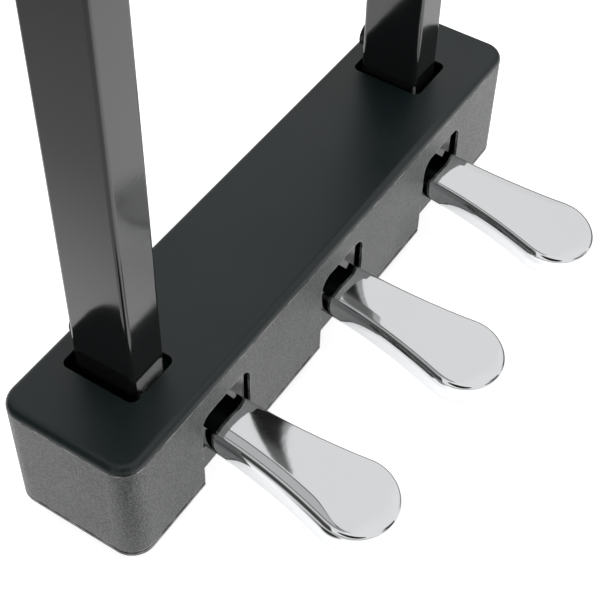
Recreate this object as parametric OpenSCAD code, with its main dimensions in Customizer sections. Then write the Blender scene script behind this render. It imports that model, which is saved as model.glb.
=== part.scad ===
// Piano pedal unit: three sprung chrome pedals in a low sheet-steel housing with two rectangular uprights.
// Millimetres, +X to the player's right, +Y away from the player, +Z up.
// The origin is on the floor, in the middle of the whole unit.

/* [Housing] */
// Length of the housing, left to right
housing_len = 304; // [296:1:400]
// Depth of the housing, front to back
housing_d = 65; // [63:1:90]
// Height of the housing without its feet
housing_h = 60.5; // [57:0.5:80]
// Radius of the four upright corners
corner_r = 10.5; // [8:0.5:12]
// Thickness of the sheet that the walls are bent from
wall_t = 1.2; // [0.8:0.1:1.6]
// Width of the lips turned in along the foot of the walls
lip_w = 7; // [6.4:0.1:8]

/* [Top cover] */
// Radius of the cover's rounded edge
cover_edge_r = 3.5; // [2.5:0.5:4]
// Thickness of the cover's top
cover_t = 1.5; // [1:0.1:2]
// Thickness of the skirt that drops inside the walls
skirt_t = 1.2; // [1:0.1:1.6]
// Depth of that skirt below the seam
skirt_h = 9; // [8:0.5:10]
// Height of the cover's screws above the foot of that skirt
cover_screw_up = 2.6; // [2.2:0.1:3.5]
// Height of the fine seam between cover and walls
seam_gap = 0.35; // [0.1:0.05:0.4]
// Width of the opening that each upright passes through, left to right
cutout_w = 27.4; // [23:0.2:30]
// Depth of that opening, front to back
cutout_d = 36.5; // [33:0.5:40]
// Corner radius of that opening
cutout_r = 3.5; // [2:0.5:5]
// How far its middle lies outside the middle of the upright
cutout_shift = 1; // [0:0.5:1.5]

/* [Base] */
// Thickness of the base tray
tray_t = 1.6; // [1.2:0.1:2.5]
// Thickness of the foam strip between tray and walls
gasket_t = 0.9; // [0.6:0.1:1.4]
// How far that strip stays behind the outer faces
gasket_inset = 1.5; // [1.2:0.1:2.5]
// Depth of the notch in the tray under each pedal
notch_depth = 5.2; // [4:0.1:5.4]
// Thickness of the flange turned up behind each notch
flange_t = 1.2; // [0.8:0.1:1.4]
// Height of that flange above the underside
flange_h = 14; // [5:0.5:14]

/* [Feet] */
// Height of the rubber feet
foot_h = 12; // [10:0.5:16]
// Diameter of the rubber feet
foot_dia = 18; // [14:0.5:20]
// Distance of the foot centres from the ends of the housing
foot_inset_x = 18; // [16:0.5:21]
// Distance of the foot centres from the front and the back, at the depth that the inside is laid out for
foot_place = 17; // [14:0.5:17]
// Diameter of the screw in each foot
foot_screw_dia = 4; // [3:0.5:5]

/* [Uprights] */
// Outer width of the uprights, left to right
upright_w = 20; // [18:0.5:20.5]
// Outer depth of the uprights, front to back
upright_d = 30; // [24:0.5:31]
// Wall of the upright tube
upright_wall = 1.5; // [1.2:0.1:2]
// Distance of their centre lines outside the middles of the outer pedals
upright_outside = 19.5; // [19.3:0.1:21]
// Distance of their centre line behind the middle of the housing
upright_behind = 4.9; // [4.5:0.1:5.2]
// Height of the whole unit
overall_h = 620; // [400:5:800]
// Corner radius of the upright tube
upright_r = 2; // [1:0.25:2.5]
// Diameter of the fixing holes at the top of the uprights
top_hole_dia = 6.5; // [4:0.5:8]
// Distance between the two fixing holes
top_hole_spacing = 40; // [20:1:80]
// Distance of the upper hole below the top
top_hole_drop = 35; // [25:1:60]
// Thickness of the cap on each upright
cap_t = 3; // [2:0.5:5]
// How far the cap's plug goes down the tube
cap_plug_h = 14; // [8:1:18]

/* [Spigots] */
// Height of the spigot above its foot plate
spigot_h = 86; // [80:1:120]
// Wall of the spigot
spigot_wall = 2; // [1.5:0.1:2.5]
// Play between spigot and upright on each side
spigot_play = 0.1; // [0.05:0.01:0.15]
// Thickness of the spigot's foot plate
spigot_plate_t = 3; // [2:0.5:4]
// Reach of the foot plate beyond the outer face of the upright
spigot_ear = 23; // [20:0.5:24]
// Width of the ear of the foot plate
spigot_ear_w = 16; // [12:0.5:16.5]
// Diameter of the screws through the foot plate
spigot_screw_dia = 5; // [4:0.5:6]
// Diameter of the bolt behind each upright
bolt_dia = 6; // [5:0.5:8]
// Diameter of that bolt's head
bolt_head_dia = 12; // [10:0.5:14]
// Height of that bolt's head
bolt_head_h = 4; // [3:0.5:5]
// Height of the bolt above the top of the housing
bolt_above = 13; // [9:0.5:16]
// Thickness of the weld nut in the spigot
weld_nut_t = 5; // [4:0.5:6]

/* [Pedals] */
// Distance of the outer pedals' middles from the ends of the housing
end_room = 63; // [62.5:0.5:66]
// Reach of the pedals in front of the housing
pedal_reach = 82.5; // [60:0.5:110]
// Slope of a pedal at rest, in degrees
pedal_tilt = 7.9; // [7:0.1:9]
// Angle that a pedal goes down, in degrees
pedal_travel = 6; // [4:0.5:6]
// Radius of the round end
tip_r = 20.4; // [17:0.2:24]
// Width of the stem where it enters the housing
stem_w = 25.6; // [23:0.2:29]
// Where the sides start to flare, behind the front of the housing
flare_start = 5; // [0:0.5:8]
// Where the chrome ends, behind the front of the housing
pedal_tail = 12; // [10:0.5:13]
// Radius of the rounded top edge
pedal_edge_r = 3.6; // [2:0.2:4.4]
// How far the top bows up between the housing and the tip
pedal_bow = 0.5; // [0:0.1:1]
// Depth of the pedal's sides
pedal_t = 11; // [10.4:0.2:13]
// Thickness of the pedal's top and sides
pedal_skin = 2.2; // [1.6:0.1:3]
// Width of the pad inside that the lever is screwed to
pad_w = 14; // [12:0.5:16]
// Length of that pad in front of the tail
pad_len = 66; // [50:1:80]

/* [Pedal openings] */
// Width of the opening in front for each pedal
opening_w = 33.6; // [31:0.2:35]
// Height of the opening above the underside
opening_h = 44.4; // [40:0.2:46]
// Radius of its upper corners
opening_r = 6.4; // [2:0.2:10]

/* [Levers] */
// Distance of the pivot behind the front of the housing, at the depth that the inside is laid out for
pivot_place = 48; // [47.5:0.1:48.5]
// Height of the pivot above the underside
pivot_h = 31; // [29:0.5:31.5]
// Height of the pedal's top face above the pivot, square to the face
top_above_pivot = 7.5; // [7:0.1:8]
// Diameter of the pivot pin
pin_dia = 6; // [4:0.5:6.5]
// Width of the lever
lever_w = 10; // [8:0.2:10.4]
// Thickness of the lever
lever_t = 5; // [4:0.2:5.4]
// Length of the lever in front of the chrome tail
lever_nose = 58; // [50:1:64]
// Radius of the boss round the pivot
boss_r = 7; // [6:0.1:7.4]
// Wall of the bushes
bush_wall = 1.4; // [1:0.1:1.8]
// Thickness of the bush flanges
bush_flange_t = 0.7; // [0.5:0.05:0.8]
// Width of the bush flanges past the barrel
bush_flange_w = 1.6; // [1:0.1:2]
// Diameter of the screws that hold a pedal to its lever
pedal_screw_dia = 4.9; // [4:0.1:5]
// Distance between those two screws
pedal_screw_gap = 24; // [16:1:30]
// Distance from the chrome tail to the first of them
pedal_screw_in = 20; // [14:1:24]
// Play of all the close fits, on the radius
fit_play = 0.05; // [0.02:0.01:0.08]

/* [Brackets] */
// Thickness of the bracket sheet
bracket_t = 1.5; // [1.2:0.1:1.5]
// Space between the outer guide cheeks
guide_gap = 36.4; // [35.8:0.2:37]
// Distance of the guide cheeks behind the front of the housing
guide_front = 5.4; // [4:0.1:5.6]
// Depth of the guide cheeks, front to back
guide_len = 14.6; // [12:0.2:14.8]
// Height of the guide cheeks above the underside
guide_h = 42; // [30:1:46]
// Distance of the pivot cheeks' rear ends from the back of the housing
cheek_rear_gap = 9; // [8.8:0.1:10]
// Height of the pivot cheeks above the underside
cheek_h = 38.5; // [38:0.1:40]
// Where the cross strap starts, behind the front of the housing, at the same depth
strap_place = 19; // [18.8:0.1:20]
// Width of the cross strap, front to back
strap_w = 12; // [10:0.2:12.4]
// Diameter of the screws that hold the brackets
bracket_screw_dia = 4; // [3:0.5:4]
// Distance of the two front bracket screws from the pedal's middle
bracket_screw_x = 13; // [11:0.2:14]
// Distance of those two screws behind the front of the housing
bracket_screw_y = 13.5; // [13:0.2:15]

/* [Springs and stops] */
// Distance of the return spring behind the front of the housing, at the depth laid out for
spring_place = 23; // [22.6:0.1:24]
// Mean diameter of the spring
spring_dia = 8; // [6.5:0.1:8.6]
// Diameter of the spring wire
spring_wire = 1.1; // [0.8:0.05:1.3]
// Number of turns in the spring
spring_turns = 6.5; // [4:0.5:8]
// Height of the spring seat's lower face above the underside
spring_top = 22.4; // [20:0.1:23]
// Diameter of the pegs inside the spring's ends
spring_peg_dia = 5.6; // [4:0.1:5.8]
// Length of those pegs
spring_peg_h = 3; // [2:0.5:4]
// Distance of the down stop behind the front of the housing, at the depth laid out for
down_stop_place = 12.4; // [12:0.1:12.8]
// Diameter of the down stop
down_stop_dia = 9; // [7:0.2:9.2]
// Gap left between a stop and the lever that it faces
stop_gap = 0.3; // [0.2:0.05:0.4]
// Width of the felt up stop, left to right
up_stop_w = 9; // [7:0.2:9.4]

/* [Sensing] */
// Where the shutter stands, behind the front of the housing, at the depth laid out for
flag_place = 36.4; // [36:0.1:36.8]
// Width of the shutter, front to back
flag_w = 5; // [4:0.2:5.2]
// Thickness of the shutter blade
flag_t = 1; // [0.8:0.1:1.5]
// Thickness of the saddle that clips over the lever
saddle_t = 0.6; // [0.5:0.05:0.65]
// Height of the board's underside above the underside of the housing
board_h = 48.4; // [47.6:0.1:49]
// How far the sensor board runs past the middles of the outer pedals
board_beyond = 5; // [4:0.5:8]
// Width of the sensor board, front to back
board_w = 20; // [19:0.5:21]
// Where the board starts, behind the front of the housing, at the depth laid out for
board_place = 22; // [21:0.5:23]
// Thickness of the board
board_t = 1.6; // [1:0.1:2]
// Slot of the photo sensors
sensor_slot = 5; // [4:0.2:6]
// Width of a photo sensor, left to right
sensor_len = 13; // [12:0.2:14]
// Depth of a photo sensor, front to back
sensor_w = 6.2; // [5.6:0.1:6.4]
// Height of a photo sensor
sensor_h = 9; // [8:0.1:9.2]
// Diameter of the board's spacers
spacer_dia = 6; // [5:0.2:7]
// Diameter of the board's screws
board_screw_dia = 3; // [2.5:0.5:3]

/* [Socket] */
// Distance of the rear socket from the right pedal's middle
socket_from_pedal = 44.5; // [38:0.5:48]
// Height of the rear socket above the underside
socket_h = 30; // [22:0.5:34]
// Bore of the socket
socket_bore = 13.4; // [12:0.1:14]
// Depth of that bore
socket_depth = 9; // [7:0.5:10]
// Wall of the socket barrel
socket_wall = 1.1; // [0.8:0.1:1.4]
// Thickness of the contact block behind the bore
socket_floor = 3; // [2:0.5:4]
// Distance between the socket's two screws
socket_screw_gap = 22; // [21:0.5:24]
// Thickness of the socket's plate
socket_plate_t = 1.5; // [1:0.1:1.8]
// Distance of the board's connector behind the front of the housing, at the depth laid out for
plug_place = 37; // [36:0.5:37.5]
// Diameter of each wire in the loom
wire_dia = 1.3; // [1:0.1:1.5]
// Number of wires in the loom
wire_count = 5; // [3:1:6]
// Radius of the bend in the loom
wire_bend = 6; // [4:0.5:7]

/* [Small screws] */
// Diameter of the screws that hold the tray and the cover
small_screw_dia = 3; // [2.5:0.5:3.5]
// Diameter of their heads
small_head_dia = 5.6; // [5:0.2:6]
// Height of their heads
small_head_h = 1.8; // [1.4:0.1:2.2]

/* [Hidden] */
$fn = 64;
hull_fn = 32;
over = 1;
fuse = 0.5;
contact_play = 0.05;
least_r = 0.5;

// The pedals spread with the housing, and the uprights, the board and the socket follow them
sides = [-1, 1];
pedal_pitch = housing_len / 2 - end_room;
pedal_x = [for (i = [-1:1]) i * pedal_pitch];
upright_x = pedal_pitch + upright_outside;
board_len = 2 * (pedal_pitch + board_beyond);
socket_x = pedal_pitch - socket_from_pedal;

// The inside is laid out for this depth, and opens up or closes up with the housing
laid_out_d = 65;
depth_ratio = housing_d / laid_out_d;
pivot_back = pivot_place * depth_ratio;
strap_start = strap_place * depth_ratio;
spring_back = spring_place * depth_ratio;
down_stop_back = down_stop_place * depth_ratio;
flag_back = flag_place * depth_ratio;
board_start = board_place * depth_ratio;
plug_y = plug_place * depth_ratio;
foot_inset_y = foot_place * depth_ratio;
upright_back = housing_d / 2 + upright_behind;
cheek_end = housing_d - cheek_rear_gap;

// Heights above the underside of the housing
seam_z = housing_h - cover_edge_r;
wall_foot_z = tray_t + gasket_t;
tube_foot_z = tray_t + spigot_plate_t;
bracket_floor_z = tray_t + bracket_t;
bolt_z = housing_h + bolt_above;

// Places behind the front of the housing
wall_back = housing_d - wall_t;
screw_row_y = wall_t + lip_w / 2;
front_screw_x = pedal_pitch / 2;
rear_screw_share = 0.7;
rear_screw_x = rear_screw_share * pedal_pitch;
end_screw_x = housing_len / 2 - wall_t - lip_w / 2;
cover_screw_z = seam_z - skirt_h + cover_screw_up;

// Room beside the brackets where the lips are cut away, and the foam strip on the lips
lip_play = 1.5;
lip_break_w = guide_gap + 2 * (bracket_t + lip_play);
lip_break_d = 4 * lip_w;
gasket_play = 0.3;
gasket_w = lip_w + wall_t - gasket_inset - gasket_play;

// Feet, caps and spigots
foot_taper = 1;
foot_chamfer = 0.8;
foot_recess = 4.5;
foot_recess_r = foot_screw_dia + 0.5;
cap_wall = 2;
cap_floor = 1;
spigot_screw_shares = [0.25, 0.78];
plate_margin = 1;
ear_lap = 2;
nut_sink = 0.2;
nut_dia = 1.7 * bolt_dia;
bolt_end = 1;
hex_dia = 0.7 * bolt_dia;
hex_depth = 0.6 * bolt_head_h;

// The lever and all that rides on it are drawn about the pivot, then tilted
tail_y = (pedal_tail - pivot_back) / cos(pedal_tilt);
flare_y = (flare_start - pivot_back) / cos(pedal_tilt);
tip_y = (pedal_edge_r - pedal_reach - pivot_back + (top_above_pivot - pedal_edge_r) * sin(pedal_tilt))
    / cos(pedal_tilt) - pedal_edge_r;
tip_centre_y = tip_y + tip_r;
flare_r = (pow(stem_w / 2, 2) - pow(tip_r, 2) + pow(flare_y - tip_centre_y, 2)) / (2 * (tip_r - stem_w / 2));
flare_turn = atan2(flare_y - tip_centre_y, stem_w / 2 + flare_r);
nose_y = tail_y - lever_nose;
front_plane_y = -pivot_back / cos(pedal_tilt);
bow_mid_y = (front_plane_y + tip_y) / 2;
bow_half = (front_plane_y - tip_y) / 2;
flare_steps = 8;
tip_steps = 14;
edge_steps = 5;
screw_near_y = tail_y - pedal_screw_in;
screw_far_y = screw_near_y - pedal_screw_gap;
bush_r = pin_dia / 2 + bush_wall;
cheek_in = lever_w / 2 + bush_flange_t + contact_play;
cheek_out = cheek_in + bracket_t;
clip_t = 0.6;
clip_w = 1.8;
clip_depth = 0.5;
clip_mouth = 1.6;
pin_end = 0.8;
pin_half = cheek_out + 2 * contact_play + clip_t + pin_end;
bush_end_gap = 0.2;
flange_play = 0.6;
cheek_lead = 2;
down_peg_dia = down_stop_dia / 3;
seat_peg_r = lever_w / 5;
blade_rise = 5;
stop_inset = 1;
stop_hole_dia = board_screw_dia + 1;

pedal_head_dia = 1.5 * pedal_screw_dia;
pedal_screw_head_h = 1.6;
pedal_screw_cover = 1.2;
pedal_screw_bite = top_above_pivot - lever_t / 2 - pedal_screw_cover;
tail_lip = 1.5 * pedal_skin;

screw_bite = 3;
bracket_head_h = 2.2;
bracket_screw_behind = 2;
bracket_screw_tail_y = pivot_back + bracket_screw_behind;
spigot_head_h = 3;
foot_head_h = 2.4;
head_ratio = 1.9;

// The return spring is one wire, swept round its turns as rings of points
ring_sides = 6;
rings_a_turn = 8;
spring_low = bracket_floor_z + spring_wire / 2 + contact_play;
spring_high = spring_top - spring_wire / 2 - contact_play;
spring_rings = round(spring_turns * rings_a_turn);
spring_pitch = (spring_high - spring_low) / spring_turns;
spring_slope = atan2(spring_pitch, PI * spring_dia);

// Connector, loom and socket
wire_step = wire_dia + 0.3;
plug_h = 5;
plug_d = 5;
plug_w = (wire_count + 1) * wire_step;
socket_back_y = housing_d - socket_depth - socket_floor;
barrel_r = socket_bore / 2 + socket_wall;
socket_plate_w = socket_screw_gap + small_head_dia + 2;
socket_plate_h = 2 * barrel_r + 3;
socket_plate_r = 3;
contact_dia = 1.6;
contact_depth = 0.6 * socket_floor;
contact_turn = 45;

// The unit is centred on its own outline, front to back
front_y = (pedal_reach - housing_d - max(small_head_h, socket_plate_t + small_head_h)) / 2;

// Lever outline at rest: height of its top and bottom at a place behind the front of the housing
function lever_top_z(y) = pivot_h - (pivot_back - y) * tan(pedal_tilt) + lever_t / 2 / cos(pedal_tilt);
function lever_low_z(y, turn) = pivot_h - (pivot_back - y) * tan(turn) - lever_t / 2 / cos(turn);

// Everything is drawn with the front of the housing at y = 0 and its underside at z = 0
module seat() {
    translate([0, front_y, foot_h]) children();
}

// The frame of one tilted lever, its pivot at the origin
module on_lever(x) {
    seat() translate([x, pivot_back, pivot_h]) rotate([pedal_tilt, 0, 0]) children();
}

module rounded_rect(l, d, r) {
    square([l - 2 * r, d], center = true);
    square([l, d - 2 * r], center = true);
    for (sx = sides, sy = sides) translate([sx * (l / 2 - r), sy * (d / 2 - r)]) circle(r);
}

// Outline of the housing in plan, drawn in by inset
module housing_plan(inset) {
    translate([0, housing_d / 2])
        rounded_rect(housing_len - 2 * inset, housing_d - 2 * inset, max(corner_r - inset, least_r));
}

module screw(dia, length, head_dia, head_h) {
    translate([0, 0, -head_h]) cylinder(d = head_dia, h = head_h);
    cylinder(d = dia, h = length);
}

// Top cover: one moulded shell with a rounded edge and a skirt inside the walls
module cover_block() {
    r_in = corner_r - cover_edge_r;
    hull() for (sx = sides, sy = sides)
        translate([sx * (housing_len / 2 - corner_r), housing_d / 2 + sy * (housing_d / 2 - corner_r), 0])
            rotate_extrude($fn = hull_fn) intersection() {
                translate([r_in, 0]) circle(cover_edge_r);
                square([corner_r, cover_edge_r]);
            }
}

module top_cover() {
    skirt_inset = wall_t + contact_play;
    color("dimgray") seat() difference() {
        union() {
            translate([0, 0, seam_z]) cover_block();
            translate([0, 0, seam_z - skirt_h])
                linear_extrude(height = skirt_h + fuse) housing_plan(skirt_inset);
        }
        translate([0, 0, seam_z - skirt_h - over])
            linear_extrude(height = skirt_h + over + cover_edge_r - cover_t)
                housing_plan(skirt_inset + skirt_t);
        for (sx = sides) translate([sx * (upright_x + cutout_shift), upright_back, seam_z])
            linear_extrude(height = cover_edge_r + over) rounded_rect(cutout_w, cutout_d, cutout_r);
        for (x = pedal_x) translate([x, housing_d, cover_screw_z]) rotate([90, 0, 0])
            cylinder(d = small_screw_dia + 2 * fit_play, h = wall_t + skirt_t + over);
    }
}

// Wall shell: one bent band of sheet with a pedal opening at each pedal and lips along its foot
module opening_profile() {
    translate([-opening_w / 2, -over]) square([opening_w, opening_h - opening_r + over]);
    translate([-opening_w / 2 + opening_r, 0]) square([opening_w - 2 * opening_r, opening_h]);
    for (sx = sides) translate([sx * (opening_w / 2 - opening_r), opening_h - opening_r]) circle(opening_r);
}

module lip_plan(inset, width) {
    difference() {
        housing_plan(inset);
        translate([0, housing_d / 2])
            square([housing_len - 2 * (inset + width), housing_d - 2 * (inset + width)], center = true);
        for (x = pedal_x) translate([x, 0]) square([lip_break_w, lip_break_d], center = true);
    }
}

module small_screw_places() {
    for (sx = sides) {
        translate([sx * end_screw_x, housing_d / 2, 0]) children();
        translate([sx * front_screw_x, screw_row_y, 0]) children();
        translate([sx * rear_screw_x, housing_d - screw_row_y, 0]) children();
    }
}

module wall_shell() {
    color("dimgray") seat() difference() {
        union() {
            translate([0, 0, wall_foot_z]) {
                linear_extrude(height = seam_z - seam_gap - wall_foot_z) difference() {
                    housing_plan(0);
                    housing_plan(wall_t);
                }
                linear_extrude(height = wall_t) lip_plan(wall_t / 2, lip_w);
            }
        }
        for (x = pedal_x) translate([x, wall_t + over, 0]) rotate([90, 0, 0])
            linear_extrude(height = wall_t + 2 * over) opening_profile();
        for (x = pedal_x) translate([x, housing_d + over, cover_screw_z]) rotate([90, 0, 0])
            cylinder(d = small_screw_dia + 2 * fit_play, h = wall_t + 2 * over);
        small_screw_places() cylinder(d = small_screw_dia + 2 * fit_play, h = wall_foot_z + wall_t + over);
        translate([socket_x, housing_d + over, socket_h]) rotate([90, 0, 0]) {
            cylinder(r = barrel_r + fit_play, h = wall_t + 2 * over);
            for (sx = sides) translate([sx * socket_screw_gap / 2, 0, 0])
                cylinder(d = small_screw_dia + 2 * fit_play, h = wall_t + 2 * over);
        }
    }
}

// Base tray: the flat floor, notched under each pedal with a flange turned up there
module base_tray() {
    color("dimgray") seat() difference() {
        union() {
            difference() {
                linear_extrude(height = tray_t) housing_plan(0);
                for (x = pedal_x) translate([x - opening_w / 2, -over, -over])
                    cube([opening_w, notch_depth + over, tray_t + 2 * over]);
            }
            for (x = pedal_x) translate([x - opening_w / 2, notch_depth, 0])
                cube([opening_w, flange_t, flange_h]);
        }
        translate([0, 0, -over]) {
            small_screw_places() cylinder(d = small_screw_dia + 2 * fit_play, h = tray_t + 2 * over);
            foot_places() cylinder(d = foot_screw_dia + 2 * fit_play, h = tray_t + 2 * over);
            spigot_screw_places() cylinder(d = spigot_screw_dia + 2 * fit_play, h = tray_t + 2 * over);
            for (x = pedal_x) translate([x, 0, 0]) bracket_screw_places()
                cylinder(d = bracket_screw_dia + 2 * fit_play, h = tray_t + 2 * over);
        }
    }
}

// Foam strip that closes the seam between tray and walls
module base_gasket() {
    color("black") seat() translate([0, 0, tray_t]) difference() {
        linear_extrude(height = gasket_t) lip_plan(gasket_inset, gasket_w);
        small_screw_places() translate([0, 0, -over])
            cylinder(d = small_screw_dia + 4 * fit_play, h = gasket_t + 2 * over);
    }
}

module foot_places() {
    for (sx = sides, y = [foot_inset_y, housing_d - foot_inset_y])
        translate([sx * (housing_len / 2 - foot_inset_x), y, 0]) children();
}

// Rubber feet: four turned feet, each with a recess for its screw
module rubber_feet() {
    lower_r = foot_dia / 2 - foot_taper;
    color("black") seat() foot_places() translate([0, 0, -foot_h]) difference() {
        rotate_extrude() polygon([[0, 0], [lower_r - foot_chamfer, 0], [lower_r, foot_chamfer],
            [foot_dia / 2, foot_h], [0, foot_h]]);
        translate([0, 0, -over]) cylinder(r = foot_recess_r, h = foot_recess + foot_head_h + over);
        cylinder(d = foot_screw_dia + 2 * fit_play, h = foot_h + over);
    }
}

module foot_screws() {
    length = foot_h - foot_recess - foot_head_h + tray_t + screw_bite;
    color("silver") seat() foot_places() translate([0, 0, foot_recess + foot_head_h - foot_h])
        screw(foot_screw_dia, length, 2 * foot_screw_dia, foot_head_h);
}

module base_screws() {
    color("silver") seat() small_screw_places()
        screw(small_screw_dia, wall_foot_z + wall_t + screw_bite, small_head_dia, small_head_h);
}

module cover_screws() {
    length = wall_t + contact_play + skirt_t + screw_bite;
    color("silver") seat() for (x = pedal_x) translate([x, housing_d, cover_screw_z])
        rotate([90, 0, 0]) screw(small_screw_dia, length, small_head_dia, small_head_h);
}

// Uprights: two rectangular steel tubes that drop over the spigots
module upright(x) {
    tube_h = overall_h - foot_h - tube_foot_z - cap_t;
    color("black") seat() translate([x, upright_back, tube_foot_z]) difference() {
        linear_extrude(height = tube_h) difference() {
            rounded_rect(upright_w, upright_d, upright_r);
            square([upright_w - 2 * upright_wall, upright_d - 2 * upright_wall], center = true);
        }
        for (drop = [top_hole_drop, top_hole_drop + top_hole_spacing])
            translate([0, upright_d / 2 + over, tube_h + cap_t - drop]) rotate([90, 0, 0])
                cylinder(d = top_hole_dia, h = upright_d + 2 * over);
        translate([0, upright_d / 2 + over, bolt_z - tube_foot_z]) rotate([90, 0, 0])
            cylinder(d = bolt_dia + 2 * fit_play, h = upright_wall + 2 * over);
    }
}

// End cap: a moulded lid with a plug that fits the tube
module end_cap(x) {
    plug_w = upright_w - 2 * (upright_wall + spigot_play);
    plug_d = upright_d - 2 * (upright_wall + spigot_play);
    color("black") seat() translate([x, upright_back, overall_h - foot_h - cap_t]) {
        linear_extrude(height = cap_t) rounded_rect(upright_w, upright_d, upright_r);
        difference() {
            translate([0, 0, -cap_plug_h / 2]) cube([plug_w, plug_d, cap_plug_h], center = true);
            translate([0, 0, -cap_plug_h / 2 - cap_floor])
                cube([plug_w - 2 * cap_wall, plug_d - 2 * cap_wall, cap_plug_h], center = true);
        }
    }
}

module spigot_screw_places() {
    for (sx = sides, share = spigot_screw_shares)
        translate([sx * (upright_x + upright_w / 2 + share * spigot_ear), housing_d / 2, 0]) children();
}

// Spigot: an inner tube welded to a foot plate, with a nut welded inside for the bolt
module spigot(side) {
    out_w = upright_w - 2 * (upright_wall + spigot_play);
    out_d = upright_d - 2 * (upright_wall + spigot_play);
    in_d = out_d - 2 * spigot_wall;
    ear_x = upright_x + upright_w / 2 + (spigot_ear - ear_lap) / 2;
    bore_h = upright_wall + spigot_wall + weld_nut_t + ear_lap;
    color("silver") seat() difference() {
        union() {
            translate([side * upright_x, upright_back, tray_t]) {
                translate([0, 0, spigot_plate_t / 2])
                    cube([upright_w, upright_d + 2 * plate_margin, spigot_plate_t], center = true);
                translate([0, 0, spigot_plate_t]) linear_extrude(height = spigot_h) difference() {
                    square([out_w, out_d], center = true);
                    square([out_w - 2 * spigot_wall, in_d], center = true);
                }
            }
            translate([side * ear_x, housing_d / 2, tray_t + spigot_plate_t / 2])
                cube([spigot_ear + ear_lap, spigot_ear_w, spigot_plate_t], center = true);
            translate([side * upright_x, upright_back + in_d / 2 + nut_sink, bolt_z]) rotate([90, 0, 0])
                cylinder(d = nut_dia, h = weld_nut_t);
        }
        translate([side * upright_x, upright_back + upright_d / 2, bolt_z]) rotate([90, 0, 0])
            cylinder(d = bolt_dia + 2 * fit_play, h = bore_h);
        translate([0, 0, tray_t - over]) spigot_screw_places()
            cylinder(d = spigot_screw_dia + 2 * fit_play, h = spigot_plate_t + 2 * over);
    }
}

module spigot_screws() {
    color("silver") seat() spigot_screw_places()
        screw(spigot_screw_dia, tube_foot_z + screw_bite, head_ratio * spigot_screw_dia, spigot_head_h);
}

module upright_bolts() {
    shank = upright_wall + spigot_play + spigot_wall + weld_nut_t + bolt_end;
    color("silver") seat() for (sx = sides)
        translate([sx * upright_x, upright_back + upright_d / 2, bolt_z]) rotate([90, 0, 0]) difference() {
            screw(bolt_dia, shank, bolt_head_dia, bolt_head_h);
            translate([0, 0, -bolt_head_h - over]) cylinder(d = hex_dia, h = hex_depth + over, $fn = 6);
        }
}

// One side of a pedal's plan about its pivot, drawn in by inset: a straight stem, a flare and a round end
function side_points(inset) = concat(
    [[stem_w / 2 - inset, tail_y]],
    [for (k = [0:flare_steps]) let (a = flare_turn * k / flare_steps, r = flare_r + inset)
        [stem_w / 2 + flare_r - r * cos(a), flare_y - r * sin(a)]],
    [for (k = [1:tip_steps]) let (a = flare_turn - (90 + flare_turn) * k / tip_steps, r = tip_r - inset)
        [r * cos(a), tip_centre_y + r * sin(a)]]);

// A closed ring of that plan at one height, both sides, bowed up a little along its length
function bow_z(y) = pedal_bow * (1 - pow((y - bow_mid_y) / bow_half, 2));
function plan_ring(inset, z) = let (right = side_points(inset), last = len(right) - 1)
    [for (k = [0:2 * last]) let (p = right[k > last ? 2 * last - k : k])
        [(k > last ? -1 : 1) * p[0], p[1], z + bow_z(p[1])]];

// A solid between rings, given as [inset, height] from the lowest to the highest
module pedal_form(levels) {
    n = flare_steps + tip_steps + 2;
    ring = 2 * n - 1;
    top = ring * (len(levels) - 1);
    lids = [for (k = [0:n - 3]) [k, k + 1, ring - 2 - k, ring - 1 - k]];
    walls = [for (j = [0:len(levels) - 2], i = [0:ring - 1]) let (a = j * ring, m = (i + 1) % ring)
        each [[a + i, a + m, a + ring + m], [a + i, a + ring + m, a + ring + i]]];
    polyhedron([for (level = levels) each plan_ring(level[0], level[1])], concat(
        [for (lid = lids) [for (k = [3:-1:0]) lid[k]]],
        [[n, n - 1, n - 2]],
        walls,
        [for (lid = lids) [for (i = lid) top + i]],
        [[top + n - 2, top + n - 1, top + n]]));
}

// Pedal: a chromed casting, hollow below, with a pad for its lever
module pedal(x) {
    pad_t = top_above_pivot - lever_t / 2;
    color("gainsboro") on_lever(x) translate([0, 0, top_above_pivot]) difference() {
        union() {
            difference() {
                pedal_form(concat([[0, -pedal_t]], [for (k = [0:edge_steps]) let (a = 90 * k / edge_steps)
                    [pedal_edge_r * (1 - cos(a)), -pedal_edge_r * (1 - sin(a))]]));
                pedal_form([[pedal_skin, -pedal_t - over], [pedal_skin, -pedal_skin]]);
                translate([-stem_w / 2 + pedal_skin, tail_y - over, -pedal_t - over])
                    cube([stem_w - 2 * pedal_skin, 2 * over, pedal_t + over - tail_lip]);
            }
            translate([-pad_w / 2, tail_y - pad_len, -pad_t]) cube([pad_w, pad_len, pad_t - pedal_skin / 2]);
        }
        for (y = [screw_near_y, screw_far_y]) translate([0, y, -pad_t - over])
            cylinder(d = pedal_screw_dia + 2 * fit_play, h = pedal_screw_bite + over + contact_play);
    }
}

// Lever: a flat steel bar with a welded boss at the pivot
module lever(x) {
    color("slategray") on_lever(x) difference() {
        union() {
            translate([-lever_w / 2, nose_y, -lever_t / 2]) cube([lever_w, -nose_y, lever_t]);
            translate([-lever_w / 2, 0, 0]) rotate([0, 90, 0]) cylinder(r = boss_r, h = lever_w);
        }
        translate([-lever_w / 2 - over, 0, 0]) rotate([0, 90, 0])
            cylinder(r = bush_r + fit_play, h = lever_w + 2 * over);
        for (y = [screw_near_y, screw_far_y]) translate([0, y, -lever_t])
            cylinder(d = pedal_screw_dia + 2 * fit_play, h = 2 * lever_t);
        translate([0, (spring_back - pivot_back) / cos(pedal_tilt), -lever_t / 2 - over])
            cylinder(r = seat_peg_r + fit_play, h = over + lever_t / 2 + contact_play);
    }
}

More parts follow.
